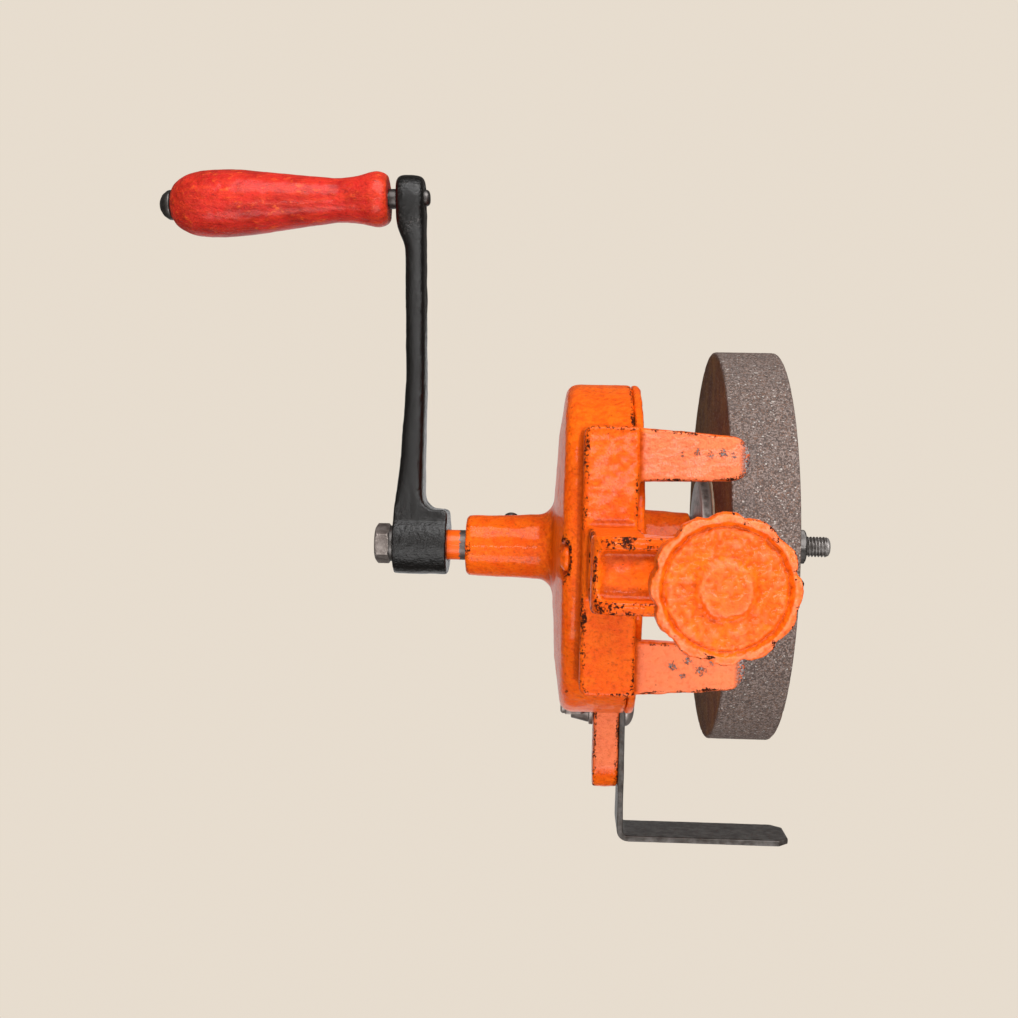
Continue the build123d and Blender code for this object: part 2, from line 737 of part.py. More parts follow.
def tool_rest():
    """A flat strap bent into an L: one leg on the lug, the other across the front of the wheel."""
    half = REST_STRAP_W / 2
    leg = Polyline(
        (REST_BOLT_Y, half),
        (REST_CROSS_Y + 4.2, half),
        (REST_CROSS_Y + 4.2, -half),
        (REST_BOLT_Y, -half),
        close=True,
    )
    leg_plan = make_face(leg) + Pos(REST_BOLT_Y, 0) * Circle(half)
    strap = x_prism(leg_plan, -REST_STRAP_T, 0)
    inner_r = 2.0
    outer_r = inner_r + REST_STRAP_T
    bend_centre = (-REST_STRAP_T - inner_r, REST_CROSS_Y + outer_r)
    quarter = Circle(outer_r) - Circle(inner_r)
    quarter &= Pos(outer_r / 2, -outer_r / 2) * Rectangle(outer_r, outer_r)
    strap += z_prism(Pos(*bend_centre) * quarter, -half, half)
    cross_length = bend_centre[0] - REST_CROSS_X
    plate = Rectangle(cross_length, REST_STRAP_W)
    plate = chamfer(plate.vertices().group_by(Axis.X)[0], 4.0)
    cross_x = (bend_centre[0] + REST_CROSS_X) / 2
    cross_y = REST_CROSS_Y + REST_STRAP_T
    strap += Pos(cross_x, cross_y, 0) * extrude(Plane.XZ * plate, REST_STRAP_T)
    strap -= x_cylinder(4.0 + RUNNING_GAP, -10, 10, y=REST_BOLT_Y)
    return Pos(PARTING_X, 0, REST_Z) * strap


def rest_bolt():
    """A carriage bolt: round head, round seat, square neck in the lug's slot, plain shank."""
    head_x = -REST_STRAP_T
    points = (
        (0, 0),
        (0, 4.0),
        (head_x, 4.0),
        (head_x, 7.4),
        (head_x - 1.4, 6.9),
        (head_x - 3.2, 4.4),
        (head_x - 4.0, 0),
    )
    bolt = x_turned(points)
    bolt += x_prism(Rectangle(REST_NECK, REST_NECK), 0, 5.0)
    bolt += x_turned(((4.0, 0), (4.0, 3.0), (REST_BOLT_END_X - 0.8, 3.0), (REST_BOLT_END_X, 2.2),
                      (REST_BOLT_END_X, 0)))
    return Pos(PARTING_X, REST_BOLT_Y, REST_Z) * bolt


def rest_washer():
    lug_face = PARTING_X + LUG_T
    return x_tube(7.0, 3.06, lug_face, lug_face + WASHER_T, y=REST_BOLT_Y, z=REST_Z)


def wing_nut():
    hub_points = ((0, 0), (0, 6.2), (7.0, 4.6), (7.0, 0))
    nut = x_turned(hub_points)
    wing_plan = Polyline(
        (1.0, 3.0),
        (6.5, 8.0),
        (10.5, 12.0),
        (7.5, 12.6),
        (3.0, 11.4),
        (0.3, 6.0),
        (0.2, 3.0),
        close=True,
    )
    wing_face = rounded(make_face(wing_plan), ((10.5, 12.0, 0.9), (7.5, 12.6, 2.0)))
    wing = Pos(0, 1.1, 0) * extrude(Plane.XZ * wing_face, 2.2)
    nut += wing + Rot(180, 0, 0) * wing
    nut -= x_cylinder(3.06, -1, 20)
    return Pos(PARTING_X + LUG_T + WASHER_T, REST_BOLT_Y, REST_Z) * nut


# --- write every piece --------------------------------------------------------------------------
PIECES = {
    "housing": housing,
    "cover": cover,
    "cover_screws": cover_screws,
    "oil_cup": oil_cup,
    "crank_bushes": crank_bushes,
    "thrust_washer": thrust_washer,
    "spindle_bushes": spindle_bushes,
    "crank_shaft": crank_shaft,
    "ring_gear": ring_gear,
    "ring_gear_pin": gear_pin,
    "crank_arm": crank_arm,
    "crank_washer": crank_washer,
    "crank_bolt": crank_bolt,
    "handle_rod": handle_rod,
    "rod_collar": rod_collar,
    "handle": handle,
    "spindle": spindle,
    "pinion": pinion,
    "pinion_pin": pinion_pin,
    "inner_flange": inner_flange,
    "wheel_blotters": wheel_blotters,
    "wheel_bush": wheel_bush,
    "grinding_wheel": grinding_wheel,
    "outer_flange": outer_flange,
    "wheel_washer": wheel_washer,
    "wheel_nut": wheel_nut,
    "clamp_screw": clamp_screw,
    "clamp_pad": clamp_pad,
    "knob": knob,
    "knob_pin": knob_pin,
    "tool_rest": tool_rest,
    "rest_bolt": rest_bolt,
    "rest_washer": rest_washer,
    "wing_nut": wing_nut,
}

os.makedirs("parts", exist_ok=True)
for name, build in PIECES.items():
    export_step(build(), f"parts/{name}.step")
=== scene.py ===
import json
from math import cos, pi, radians, sin

import bmesh
import bpy
import numpy as np
from mathutils import Euler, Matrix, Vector


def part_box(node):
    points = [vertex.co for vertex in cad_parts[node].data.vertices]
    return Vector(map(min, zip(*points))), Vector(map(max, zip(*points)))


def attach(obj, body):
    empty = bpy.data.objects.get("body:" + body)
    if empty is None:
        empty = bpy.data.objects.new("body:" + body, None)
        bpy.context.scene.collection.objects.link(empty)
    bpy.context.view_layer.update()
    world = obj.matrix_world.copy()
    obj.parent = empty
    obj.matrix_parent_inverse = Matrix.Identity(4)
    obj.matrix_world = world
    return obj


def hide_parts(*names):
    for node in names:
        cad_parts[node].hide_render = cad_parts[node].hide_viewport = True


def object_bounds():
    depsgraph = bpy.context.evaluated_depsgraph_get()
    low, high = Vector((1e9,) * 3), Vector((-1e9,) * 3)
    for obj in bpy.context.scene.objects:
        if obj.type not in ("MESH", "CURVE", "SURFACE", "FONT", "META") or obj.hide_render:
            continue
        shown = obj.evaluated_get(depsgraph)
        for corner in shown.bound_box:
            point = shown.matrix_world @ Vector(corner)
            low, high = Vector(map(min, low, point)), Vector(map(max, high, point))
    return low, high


# A vintage hand-cranked bench grinder.  CAD places and sizes come from the frame, in metres.
# Shapes made here are drawn in millimetres and scaled by MM.
MM = 0.001

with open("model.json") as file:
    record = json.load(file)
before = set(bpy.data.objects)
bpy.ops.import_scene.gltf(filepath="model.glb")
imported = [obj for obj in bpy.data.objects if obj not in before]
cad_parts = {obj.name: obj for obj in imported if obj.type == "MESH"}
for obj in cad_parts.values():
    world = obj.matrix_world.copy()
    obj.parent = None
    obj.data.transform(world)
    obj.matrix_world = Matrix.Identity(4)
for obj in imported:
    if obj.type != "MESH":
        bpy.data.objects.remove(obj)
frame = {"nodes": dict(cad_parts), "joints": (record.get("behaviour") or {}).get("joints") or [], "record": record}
cad_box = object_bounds()
scene = bpy.context.scene
record = frame["record"]


# --- places read from the frame -----------------------------------------------------------------
def low_high(node):
    """The lowest and highest corner of a CAD node, in millimetres."""
    low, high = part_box(node)
    return np.array(low) / MM, np.array(high) / MM


def centre(node):
    low, high = low_high(node)
    return (low + high) / 2


def joint(name):
    return next(j for j in frame["joints"] if j["name"] == name)


# --- repeatable noise ---------------------------------------------------------------------------
def lattice(ix, iy, iz, seed):
    """A fixed pseudo-random number from 0 to 1 for each whole-number place."""
    n = ix * 73856093 + iy * 19349663 + iz * 83492791 + seed * 6542989
    n = (n ^ (n >> 13)) * 1274126177
    n = (n ^ (n >> 16)) & 0xFFFFF
    return n / float(0xFFFFF)


def noise(points, size, seed=0):
    """Smooth noise from -1 to 1 at points (N, 3), with lumps about size across."""
    scaled = np.asarray(points, float) / size + 1000.0
    whole = np.floor(scaled).astype(np.int64)
    part = scaled - whole
    part = part * part * (3 - 2 * part)
    total = 0.0
    for dx in (0, 1):
        for dy in (0, 1):
            for dz in (0, 1):
                near = np.abs(np.array((1 - dx, 1 - dy, 1 - dz)) - part)
                weight = near[:, 0] * near[:, 1] * near[:, 2]
                total = total + weight * lattice(whole[:, 0] + dx, whole[:, 1] + dy, whole[:, 2] + dz, seed)
    return total * 2 - 1


# --- meshes -------------------------------------------------------------------------------------
def read_points(mesh):
    flat = np.empty(len(mesh.vertices) * 3)
    mesh.vertices.foreach_get("co", flat)
    return flat.reshape(-1, 3) / MM


def read_normals(mesh):
    flat = np.empty(len(mesh.vertices) * 3)
    mesh.vertex_normals.foreach_get("vector", flat)
    return flat.reshape(-1, 3)


def write_points(mesh, points):
    mesh.vertices.foreach_set("co", (points * MM).ravel())
    mesh.update()


def weld(mesh, distance=0.002):
    work = bmesh.new()
    work.from_mesh(mesh)
    bmesh.ops.remove_doubles(work, verts=work.verts, dist=distance * MM)
    bmesh.ops.dissolve_degenerate(work, edges=work.edges, dist=distance * MM)
    bmesh.ops.recalc_face_normals(work, faces=work.faces)
    work.to_mesh(mesh)
    work.free()


def new_piece(name, mesh, node, body, material, sharp=35.0):
    """Put a mesh in the scene as the piece that stands for a CAD node."""
    piece = bpy.data.objects.new(name, mesh)
    scene.collection.objects.link(piece)
    mesh.materials.clear()
    mesh.materials.append(material)
    mesh.polygons.foreach_set("use_smooth", [True] * len(mesh.polygons))
    mesh.set_sharp_from_angle(angle=radians(sharp))
    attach(piece, body)
    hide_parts(node)
    return piece


slot_of = {part["node"]: part["material_slot"] for part in record["subparts"]}
body_of = {node: body for body, nodes in record["behaviour"]["bodies"].items() for node in nodes}


def neighbour_mean(points, edges, share):
    """Move each point part of the way to the mean of its neighbours."""
    count = np.bincount(edges.ravel(), minlength=len(points)).astype(float)
    count[count == 0] = 1
    mean = np.empty_like(points)
    for axis in range(3):
        total = np.bincount(edges[:, 0], points[edges[:, 1], axis], len(points))
        total += np.bincount(edges[:, 1], points[edges[:, 0], axis], len(points))
        mean[:, axis] = total / count
    return points + share * (mean - points)


def read_edges(mesh):
    flat = np.empty(len(mesh.edges) * 2, dtype=np.int64)
    mesh.edges.foreach_get("vertices", flat)
    return flat.reshape(-1, 2)


def mark_edges(mesh, reach=10):
    """Store how far each point stands out of its surroundings as "edge", and how deep it lies as "hollow"."""
    points = read_points(mesh)
    edges = read_edges(mesh)
    smooth = points
    for _ in range(reach):
        smooth = neighbour_mean(smooth, edges, 0.8)
    proud = ((points - smooth) * read_normals(mesh)).sum(axis=1)
    for name, values in (("edge", proud), ("hollow", -proud)):
        layer = mesh.attributes.new(name, "FLOAT", "POINT")
        layer.data.foreach_set("value", np.clip(values, 0, 2))


def mark(mesh, name, values):
    layer = mesh.attributes.new(name, "FLOAT", "POINT")
    layer.data.foreach_set("value", np.clip(values, 0, 1))


def read_mark(mesh, name):
    values = np.empty(len(mesh.vertices))
    mesh.attributes[name].data.foreach_get("value", values)
    return values


def remeshed(source, voxel):
    """A new mesh of even quads around a closed mesh."""
    holder = bpy.data.objects.new("remesh", source)
    scene.collection.objects.link(holder)
    remesh = holder.modifiers.new("remesh", "REMESH")
    remesh.mode = "VOXEL"
    remesh.voxel_size = voxel * MM
    graph = bpy.context.evaluated_depsgraph_get()
    mesh = bpy.data.meshes.new_from_object(holder.evaluated_get(graph))
    bpy.data.objects.remove(holder)
    return mesh


def cast(node, material, voxel, rounding, lumps=(), reach=10, soft_at=None):
    """A cast or forged piece: even mesh, rounded edges, and lumps of (size, height) in millimetres.

    soft_at(points) gives the share, from 0 to 1, by which each point takes part in a further strong rounding.
    """
    source = frame["nodes"][node].data.copy()
    weld(source)
    mesh = remeshed(source, voxel)
    points = read_points(mesh)
    edges = read_edges(mesh)
    for _ in range(rounding):
        points = neighbour_mean(points, edges, 0.5)
    if soft_at:
        share = soft_at(points)[:, None]
        for _ in range(90):
            points = points + share * (neighbour_mean(points, edges, 0.5) - points)
    write_points(mesh, points)
    normals = read_normals(mesh)
    for seed, (size, height) in enumerate(lumps):
        points = points + normals * (height * noise(points, size, seed))[:, None]
    low, high = np.array(cad_box[0]) / MM, np.array(cad_box[1]) / MM
    write_points(mesh, np.clip(points, low + 0.01, high - 0.01))
    mark_edges(mesh, reach)
    return new_piece(node + "_skin", mesh, node, body_of[node], material, sharp=60)


X_FRAME = (Vector((1, 0, 0)), Vector((0, 1, 0)), Vector((0, 0, 1)))
Z_FRAME = (Vector((0, 0, 1)), Vector((1, 0, 0)), Vector((0, 1, 0)))


def dense(path, step):
    """Add points along an outline so that none are further apart than step."""
    out = [path[0]]
    for (s0, r0), (s1, r1) in zip(path, path[1:]):
        parts = max(1, int(np.ceil(np.hypot(s1 - s0, r1 - r0) / step)))
        out += [(s0 + (s1 - s0) * i / parts, r0 + (r1 - r0) * i / parts) for i in range(1, parts + 1)]
    return out


def softened(path, radius, closed=False):
    """Replace each corner of an outline by a short arc of three points."""
    points = [np.array(p, float) for p in path]
    count = len(points)
    out = []
    for i, here in enumerate(points):
        if not closed and i in (0, count - 1):
            out.append(tuple(here))
            continue
        before, after = points[i - 1], points[(i + 1) % count]
        to_before, to_after = before - here, after - here
        cut = min(radius, 0.45 * np.hypot(*to_before), 0.45 * np.hypot(*to_after))
        start = here + to_before / max(np.hypot(*to_before), 1e-9) * cut
        end = here + to_after / max(np.hypot(*to_after), 1e-9) * cut
        for t in (0, 0.33, 0.67, 1):
            out.append(tuple((1 - t) ** 2 * start + 2 * t * (1 - t) * here + t * t * end))
    return out


def turned_mesh(path, origin, axes=X_FRAME, segments=96, shape=None, closed=False, step=None):
    """A surface of revolution of (along, radius) points; shape(along, radius, angle) may change the radius."""
    if closed:
        path = list(path) + [path[0]]
    if step:
        path = dense(path, step)
    along = np.array([p[0] for p in path])[:, None] * np.ones(segments)
    radius = np.array([p[1] for p in path])[:, None] * np.ones(segments)
    angle = np.linspace(0, 2 * pi, segments, endpoint=False)[None, :] * np.ones((len(path), 1))
    if shape:
        changed = shape(along, radius, angle)
        along, radius = changed if isinstance(changed, tuple) else (along, changed)
    axis, side, up = (np.array(a) for a in axes)
    points = (
        np.array(origin)
        + along[..., None] * axis
        + (radius * np.cos(angle))[..., None] * side
        + (radius * np.sin(angle))[..., None] * up
    )
    index = np.arange(len(path) * segments).reshape(len(path), segments)
    here, right = index[:-1], np.roll(index, -1, axis=1)[:-1]
    above, corner = index[1:], np.roll(index, -1, axis=1)[1:]
    faces = np.stack([here, right, corner, above], axis=-1).reshape(-1, 4)
    mesh = bpy.data.meshes.new("turned")
    mesh.from_pydata((points.reshape(-1, 3) * MM).tolist(), [], faces.tolist())
    weld(mesh, 0.0005)
    return mesh


def turned(name, node, path, material, axes=X_FRAME, origin=None, reach=6, sharp=35.0, **options):
    mesh = turned_mesh(path, centre_line(node) if origin is None else origin, axes, **options)
    mark_edges(mesh, reach)
    return new_piece(name, mesh, node, body_of[node], material, sharp)


def centre_line(node):
    """The centre of a node that is turned about a line along X, at X=0."""
    place = centre(node)
    return np.array((0.0, place[1], place[2]))


def join(name, meshes, node, material):
    """Several meshes as one piece."""
    work = bmesh.new()
    for mesh in meshes:
        work.from_mesh(mesh)
    whole = bpy.data.meshes.new(name)
    work.to_mesh(whole)
    work.free()
    mark_edges(whole, 6)
    return new_piece(name, whole, node, body_of[node], material)


def thread(start, end, pitch, depth, hand=1):
    """Shape function that cuts a thread between two places, running out at both ends."""
    def cut(along, radius, angle):
        phase = (along / pitch - hand * angle / (2 * pi)) % 1.0
        groove = np.clip(np.abs(phase - 0.5) * 2.6 - 0.3, 0, 1)
        fade = np.clip((along - start) / pitch, 0, 1) * np.clip((end - along) / pitch, 0, 1)
        outside = radius > 0.6 * radius.max()
        return radius - depth * groove * fade * outside
    return cut


# --- materials ----------------------------------------------------------------------------------
class Look:
    """A material made of nodes, with short calls for the nodes it needs."""

    def __init__(self, name):
        self.material = bpy.data.materials.new(name)
        self.material.use_nodes = True
        self.tree = self.material.node_tree
        self.shader = self.tree.nodes["Principled BSDF"]
        place = self.tree.nodes.new("ShaderNodeTexCoord").outputs["Object"]
        self.mm = self.add("ShaderNodeVectorMath", operation="SCALE", Vector=place, Scale=1 / MM)

    def add(self, kind, output=0, **values):
        """One output of a new node. Lower-case values set its properties, and the others its sockets."""
        node = self.tree.nodes.new(kind)
        for key, value in values.items():
            if key.islower():
                setattr(node, key, value)
        for key, value in values.items():
            if not key.islower():
                self.feed(node.inputs[key.replace("_", " ")], value)
        return node.outputs[output]

    def feed(self, socket, value):
        if isinstance(value, bpy.types.NodeSocket):
            self.tree.links.new(value, socket)
        elif hasattr(value, "__len__") and len(value) == 3 and socket.type == "RGBA":
            socket.default_value = (*value, 1)
        else:
            socket.default_value = value

    def math(self, operation, a, b=0.0, c=0.0, clamp=False):
        node = self.tree.nodes.new("ShaderNodeMath")
        node.operation = operation
        node.use_clamp = clamp
        for socket, value in zip(node.inputs, (a, b, c)):
            self.feed(socket, value)
        return node.outputs[0]

    def noise(self, size, detail=3.0, roughness=0.55, vector=None):
        """Noise with lumps about size millimetres across."""
        return self.add("ShaderNodeTexNoise", "Fac", Vector=vector or self.mm, Scale=1 / size, Detail=detail,
                        Roughness=roughness)

    def cells(self, size, output):
        """Random cells about size millimetres across, as their colour or the distance to their middles."""
        return self.add("ShaderNodeTexVoronoi", output, Vector=self.mm, Scale=1 / size)

    def stretched(self, x, y, z):
        """The place with each direction scaled, so that a pattern stretches along the smaller ones."""
        node = self.tree.nodes.new("ShaderNodeVectorMath")
        node.operation = "MULTIPLY"
        self.tree.links.new(self.mm, node.inputs[0])
        node.inputs[1].default_value = (x, y, z)
        return node.outputs[0]

    def attribute(self, name):
        return self.add("ShaderNodeAttribute", "Fac", attribute_name=name)

    def ramp(self, value, low, high):
        """0 below low, 1 above high, smooth between."""
        node = self.tree.nodes.new("ShaderNodeMapRange")
        node.interpolation_type = "SMOOTHSTEP"
        for socket, item in zip(node.inputs, (value, low, high, 0.0, 1.0)):
            self.feed(socket, item)
        return node.outputs[0]

    def mix(self, share, a, b):
        node = self.tree.nodes.new("ShaderNodeMix")
        node.data_type = "RGBA"
        self.feed(node.inputs[0], share)
        self.feed(node.inputs[6], a)
        self.feed(node.inputs[7], b)
        return node.outputs[2]

    def blend(self, share, a, b):
        node = self.tree.nodes.new("ShaderNodeMix")
        self.feed(node.inputs[0], share)
        self.feed(node.inputs[2], a)
        self.feed(node.inputs[3], b)
        return node.outputs[0]

    def bump(self, height, distance, strength=1.0, normal=None):
        node = self.tree.nodes.new("ShaderNodeBump")
        node.inputs["Strength"].default_value = strength
        node.inputs["Distance"].default_value = distance * MM
        self.tree.links.new(height, node.inputs["Height"])
        if normal is not None:
            self.tree.links.new(normal, node.inputs["Normal"])
        return node.outputs[0]

    def finish(self, **values):
        for key, value in values.items():
            self.feed(self.shader.inputs[key.replace("_", " ")], value)
        return self.material


def enamel(name, paint, deep, faded_and_sheen, bare):
    """Thick glossy paint over rough cast iron: mottled, pitted, chipped at the edges, pale partly where it rubs
    and partly as a painted sheen, with painted shade in hollows and low spots and painted highlights on crests.
    """
    look = Look(name)
    edge = look.attribute("edge")
    hollow = look.attribute("hollow")
    rub_and_sheen = look.attribute("rub_and_sheen")
    mottle = look.noise(5.0, 5.0, 0.6)
    ragged = look.noise(0.9, 5.0, 0.75)
    broad = look.noise(7.0, 3.0)
    pebbles = look.noise(1.5, 4.0, 0.62)
    fine = look.noise(0.5, 3.0, 0.6)
    tone = look.mix(look.ramp(mottle, 0.36, 0.64), paint, deep)
    shade = tuple(0.5 * c for c in deep)
    # Painted shade: the paint is darkened in hollows, grooves and corners of the shape.
    tone = look.mix(look.math("MULTIPLY", look.ramp(hollow, 0.05, 0.3), 0.7), tone, shade)
    # Painted shade and highlight on the pebbly relief: its low spots are darkened and its crests lightened.
    low_spots = look.math("SUBTRACT", 1.0, look.ramp(pebbles, 0.33, 0.5))
    tone = look.mix(look.math("MULTIPLY", low_spots, 0.45), tone, shade)
    crests = look.math("MULTIPLY", look.ramp(pebbles, 0.5, 0.7), look.ramp(fine, 0.35, 0.65))
    tone = look.mix(look.math("MULTIPLY", crests, 0.5), tone, (1.0, 0.2, 0.015))
    # Pale pink on marked faces: partly paint worn where it rubs, partly a painted sheen.
    pale = look.math("MULTIPLY", rub_and_sheen, look.blend(ragged, 0.55, 0.95))
    pale = look.math("MULTIPLY", pale, look.blend(low_spots, 0.85, 0.6))
    tone = look.mix(pale, tone, faded_and_sheen)
    worn = look.math("MULTIPLY", look.math("MINIMUM", edge, 0.5), 1.6)
    worn = look.math("ADD", worn, look.math("MULTIPLY", broad, 0.9))
    worn = look.math("ADD", worn, look.math("MULTIPLY", ragged, 1.6))
    worn = look.math("ADD", worn, look.math("MULTIPLY", look.attribute("knocked"), 0.12))
    chip = look.ramp(worn, 2.1, 2.14)
    spots = look.cells(1.7, "Distance")
    pick = look.add("ShaderNodeSeparateColor", 0, Color=look.cells(1.7, "Color"))
    near = look.math("ADD", look.math("MULTIPLY", spots, 0.7), look.math("MULTIPLY", ragged, 1.1))
    pit = look.math("SUBTRACT", 1.0, look.ramp(near, 0.47, 0.55))
    pit = look.math("MULTIPLY", pit, look.ramp(pick, 0.8, 0.81))
    dents = look.math("ADD", look.math("MULTIPLY", look.attribute("dented"), 0.28), look.noise(0.9, 5.0, 0.8))
    dents = look.math("MULTIPLY", look.ramp(dents, 0.72, 0.8), look.ramp(look.attribute("dented"), 0.02, 0.1))
    rust = look.mix(look.noise(0.6, 4.0), bare, tuple(0.35 * c for c in bare))
    steel = look.mix(look.ramp(look.noise(0.7, 4.0), 0.35, 0.65), (0.06, 0.045, 0.045), (0.4, 0.36, 0.35))
    tip = look.math("MULTIPLY", look.attribute("bared"), look.ramp(ragged, 0.42, 0.5))
    damage = look.math("MAXIMUM", look.math("MAXIMUM", chip, pit), look.math("MAXIMUM", dents, tip))
    colour = look.mix(damage, tone, look.mix(look.math("MAXIMUM", dents, tip), rust, steel))
    height = look.math("ADD", look.math("MULTIPLY", pebbles, 0.9), look.math("MULTIPLY", fine, 0.14))
    height = look.math("SUBTRACT", height, look.math("MULTIPLY", damage, 0.35))
    roughness = look.blend(damage, look.blend(mottle, 0.3, 0.42), 0.65)
    coat = look.math("MULTIPLY", look.math("SUBTRACT", 1.0, damage), 0.28)
    return look.finish(Base_Color=colour, Roughness=roughness, Normal=look.bump(height, 1.1, 1.0),
                       Coat_Weight=coat,
                       Coat_Roughness=0.12, Specular_IOR_Level=0.06)


def painted_shaft(name):
    """Orange paint on a turned shaft, worn to grey steel beside the bearing."""
    look = Look(name)
    ragged = look.noise(1.2, 5.0, 0.7)
    gap = look.add("ShaderNodeSeparateXYZ", 0, Vector=look.mm)
    beside = look.math("SUBTRACT", 1.0, look.ramp(gap, 60.2, 63.2))
    bare = look.ramp(look.math("ADD", look.math("MULTIPLY", beside, 0.8), ragged), 0.95, 1.1)
    tone = look.mix(ragged, ORANGE, RED_ORANGE)
    steel = look.mix(ragged, (0.07, 0.045, 0.04), (0.24, 0.2, 0.19))
    return look.finish(Base_Color=look.mix(bare, tone, steel), Roughness=look.blend(bare, 0.32, 0.5),
                       Metallic=look.math("MULTIPLY", bare, 0.8), Normal=look.bump(ragged, 0.2, 0.6),
                       Coat_Weight=0.3, Coat_Roughness=0.2, Specular_IOR_Level=0.2)


def lacquered_wood(name):
    """Red lacquer over turned wood: grain along the handle, a raised craze, and orange where it wears thin."""
    look = Look(name)
    grain = look.noise(1.5, 5.0, 0.6, vector=look.stretched(0.16, 1.0, 1.0))
    patch = look.noise(9.0, 4.0)
    flake = look.noise(2.0, 5.0, 0.62, vector=look.stretched(0.6, 1.0, 1.0))
    fine = look.noise(0.6, 3.0, 0.6)
    tone = look.mix(look.ramp(patch, 0.35, 0.65), (0.66, 0.02, 0.014), (0.42, 0.008, 0.006))
    tone = look.mix(look.math("MULTIPLY", look.ramp(grain, 0.46, 0.66), 0.4), tone, (0.74, 0.045, 0.01))
    zone = look.ramp(look.noise(8.0, 3.0), 0.42, 0.62)
    flecks = look.math("MULTIPLY", look.ramp(flake, 0.55, 0.66), zone)
    tone = look.mix(look.math("MULTIPLY", flecks, 0.65), tone, (0.88, 0.13, 0.02))
    thin = look.math("MULTIPLY", look.attribute("edge"), 1.4, clamp=True)
    tone = look.mix(thin, tone, (0.7, 0.12, 0.015))
    dark = look.ramp(look.noise(1.0, 4.0, 0.7, vector=look.stretched(0.5, 1.0, 1.0)), 0.58, 0.68)
    tone = look.mix(look.math("MULTIPLY", dark, 0.6), tone, (0.2, 0.006, 0.005))
    height = look.math("ADD", look.math("MULTIPLY", grain, 0.45), flake)
    height = look.math("ADD", height, look.math("MULTIPLY", fine, 0.2))
    roughness = look.blend(flake, 0.3, 0.5)
    return look.finish(Base_Color=tone, Roughness=roughness, Normal=look.bump(height, 1.5, 1.0),
                       Coat_Weight=0.3,
                       Coat_Roughness=0.22, Specular_IOR_Level=0.12)


def black_enamel(name):
    """Gloss black over a rough forging, with brown-grey scuffs where it rubs and a painted grey sheen on faces
    toward the lights.
    """
    look = Look(name)
    edge = look.attribute("edge")
    scuff = look.noise(0.8, 6.0, 0.75)
    broad = look.noise(8.0, 2.0)
    worn = look.math("ADD", look.math("MULTIPLY", edge, 1.2), look.math("MULTIPLY", scuff, 0.9))
    worn = look.math("ADD", worn, look.math("MULTIPLY", broad, 0.6))
    # Marked faces turn grey-brown: partly scuffs where it rubs, partly a painted grey sheen.
    worn = look.math("ADD", worn, look.math("MULTIPLY", look.attribute("rub_and_sheen"), 0.35))
    bare = look.ramp(worn, 1.25, 1.5)
    tone = look.mix(look.ramp(scuff, 0.4, 0.75), (0.002, 0.0018, 0.0018), (0.009, 0.007, 0.0065))
    tone = look.mix(look.math("MULTIPLY", bare, 0.75), tone, (0.105, 0.09, 0.083))
    height = look.math("ADD", look.noise(1.6, 4.0, 0.6), look.math("MULTIPLY", scuff, 0.35))
    roughness = look.blend(bare, look.blend(scuff, 0.14, 0.26), 0.55)
    return look.finish(Base_Color=tone, Roughness=roughness, Normal=look.bump(height, 0.4, 0.75),
                       Specular_IOR_Level=0.4)


def abrasive(name):
    """Vitrified grit: grey and brown grains with bright facets on the rim, sides browned partly by an oil stain
    and partly by painted shade and painted orange bounce light.
    """
    look = Look(name)
    grit = look.add("ShaderNodeSeparateColor", 0, Color=look.cells(0.5, "Color"))
    other = look.add("ShaderNodeSeparateColor", 1, Color=look.cells(0.5, "Color"))
    gap = look.cells(0.5, "Distance")
    cloud = look.noise(7.0, 5.0)
    tone = look.mix(look.ramp(grit, 0.05, 0.95), (0.1, 0.073, 0.063), (0.29, 0.225, 0.2))
    tone = look.mix(look.ramp(other, 0.75, 0.95), tone, (0.2, 0.12, 0.09))
    tone = look.mix(look.math("MULTIPLY", look.ramp(gap, 0.4, 0.75), 0.5), tone, (0.06, 0.05, 0.048))
    tone = look.mix(look.math("MULTIPLY", look.ramp(cloud, 0.45, 0.7), 0.3), tone, (0.12, 0.1, 0.095))
    bright = look.ramp(grit, 0.975, 0.985)
    tone = look.mix(bright, tone, (0.44, 0.4, 0.37))
    # The sides' brown: partly an oil stain, partly painted shade and painted orange light thrown from the housing.
    blotches = look.noise(12.0, 5.0, 0.65)
    side_brown = look.math("MULTIPLY", look.attribute("oil"), look.blend(blotches, 0.6, 1.0))
    brown = look.mix(look.ramp(blotches, 0.35, 0.65), (0.13, 0.036, 0.006), (0.25, 0.115, 0.03))
    brown = look.mix(look.math("MULTIPLY", look.ramp(grit, 0.4, 1.0), 0.35), brown, (0.34, 0.22, 0.1))
    brown = look.mix(look.math("MULTIPLY", look.ramp(other, 0.5, 0.9), 0.4), brown, (0.03, 0.012, 0.006))
    tone = look.mix(side_brown, tone, brown)
    height = look.math("SUBTRACT", grit, look.math("MULTIPLY", gap, 0.9))
    return look.finish(Base_Color=tone, Roughness=look.blend(bright, 0.85, 0.45),
                       Normal=look.bump(height, 0.24, 0.85),
                       Specular_IOR_Level=0.08)


